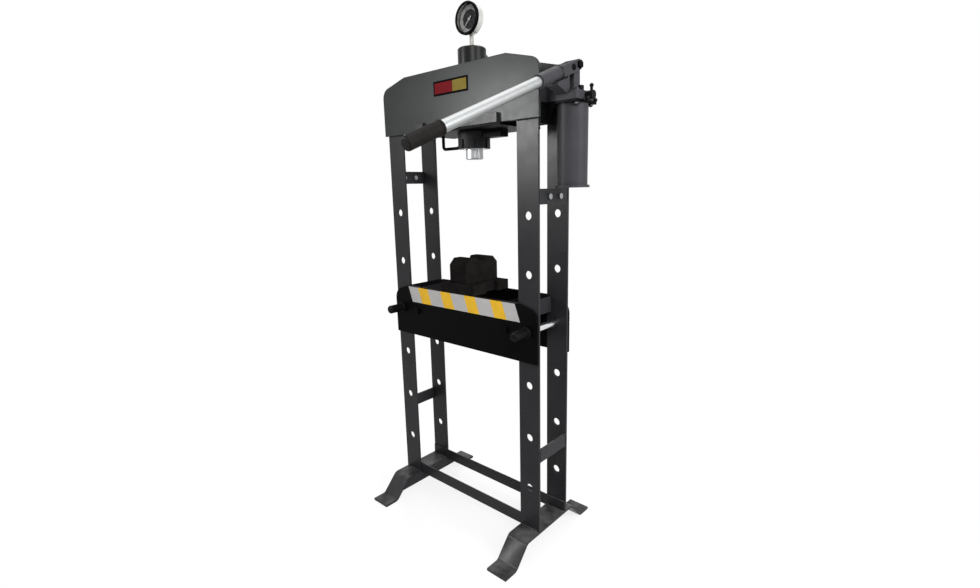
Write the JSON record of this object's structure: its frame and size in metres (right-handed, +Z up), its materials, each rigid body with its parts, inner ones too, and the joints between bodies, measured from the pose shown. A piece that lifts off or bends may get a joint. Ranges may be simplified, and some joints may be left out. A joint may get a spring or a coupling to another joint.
{
  "type": "hydraulic shop press",
  "caption": "Manual hydraulic shop press: upright frame with a sliding cylinder and gauge, a height-adjustable bed held by pins, press blocks, and a lever hand pump on the right side.",
  "frame": {"origin": "on the floor, midway between the left and right uprights and between the front and rear uprights", "axes": "+Z up; -Y is the front, where the gauge faces and the lever points; +X is the pump side"},
  "size_m": [0.9135, 0.9535, 1.992],
  "materials": {
    "frame_grey": "satin",
    "head_grey": "satin",
    "black_paint": "satin",
    "block_iron": "matte",
    "bright_steel": "polished",
    "zinc": "satin",
    "handle_steel": "satin",
    "dark_steel": "satin",
    "black_plastic": "matte",
    "rubber": "matte",
    "gauge_metal": "satin",
    "dial_black": "matte",
    "needle_white": "matte",
    "lens": "clear"
  },
  "bodies": {
    "frame": {"upright_front_left": "frame_grey", "upright_front_right": "frame_grey", "upright_rear_left": "frame_grey", "upright_rear_right": "frame_grey", "foot_left": "frame_grey", "foot_right": "frame_grey", "foot_ribs": "frame_grey", "stretcher_front": "frame_grey", "stretcher_rear": "frame_grey", "upper_straps": "frame_grey", "lower_straps": "frame_grey", "strap_bolts": "zinc", "head_plate_front": "head_grey", "head_plate_rear": "head_grey", "head_ties": "frame_grey", "head_rails": "frame_grey", "bed_plate_front": "black_paint", "bed_plate_rear": "black_paint", "bed_guides": "frame_grey", "bed_spacers": "black_paint", "bed_bolts": "dark_steel", "arbor_plates": "block_iron", "v_blocks": "block_iron", "pump_bracket": "black_paint", "pump_tank": "frame_grey", "pump_body": "frame_grey", "plunger_gland": "black_paint", "pump_bolts": "dark_steel", "filler_cap": "black_plastic", "pump_outlet": "dark_steel", "valve_gland": "dark_steel", "pivot_bolt": "black_paint"},
    "pin_left": {"pin_shaft_left": "bright_steel", "pin_knob_left": "black_plastic"},
    "pin_right": {"pin_shaft_right": "bright_steel", "pin_knob_right": "black_plastic"},
    "carriage": {"slide_plate": "black_paint", "slide_stiffener": "black_paint", "guide_lugs": "frame_grey", "carriage_handle": "black_paint", "cylinder_body": "frame_grey", "lock_ring": "black_paint", "ram_gland": "bright_steel", "cylinder_hanger": "frame_grey", "cylinder_port": "dark_steel", "gauge_stem": "zinc", "gauge_case": "gauge_metal", "gauge_bezel": "black_paint", "gauge_dial": "dial_black", "gauge_glass": "lens"},
    "ram_rod": {"ram": "bright_steel", "piston_seal": "rubber"},
    "needle": {"gauge_needle": "needle_white"},
    "release": {"release_spindle": "bright_steel", "release_knob": "black_plastic"},
    "pump_rod": {"plunger": "dark_steel"},
    "lever": {"lever_yoke": "frame_grey", "link_pin": "black_paint", "handle_tube": "handle_steel", "handle_grip": "rubber"}
  },
  "joints": [
    {"name": "carriage_slide", "type": "slide", "parent": "frame", "child": "carriage", "axis": [1, 0, 0], "range_m": [-0.08, 0.048]},
    {"name": "ram_slide", "type": "slide", "parent": "carriage", "child": "ram_rod", "axis": [0, 0, -1], "range_m": [0, 0.18], "stiffness_N_per_m": 1500, "springref_m": -0.1},
    {"name": "needle_turn", "type": "hinge", "parent": "carriage", "child": "needle", "pos_m": [0.016, 0, 1.937], "axis": [0, 1, 0], "range_deg": [0, 270], "stiffness_Nm_per_rad": 0.02},
    {"name": "lever_swing", "type": "hinge", "parent": "frame", "child": "lever", "pos_m": [0.448, 0, 1.713], "axis": [-1, 0, 0], "range_deg": [0, 45]},
    {"name": "plunger_slide", "type": "slide", "parent": "frame", "child": "pump_rod", "axis": [0, 0, 1], "range_m": [0, 0.0271]},
    {"name": "release_turn", "type": "hinge", "parent": "frame", "child": "release", "pos_m": [0.499, 0, 1.6185], "axis": [1, 0, 0], "range_deg": [0, 360]},
    {"name": "pin_left_slide", "type": "slide", "parent": "frame", "child": "pin_left", "axis": [0, -1, 0], "range_m": [0, 0.21]},
    {"name": "pin_right_slide", "type": "slide", "parent": "frame", "child": "pin_right", "axis": [0, -1, 0], "range_m": [0, 0.21]}
  ],
  "couplings": [
    {"joint": "plunger_slide", "follows": "lever_swing", "m_per_rad": 0.03388}
  ]
}
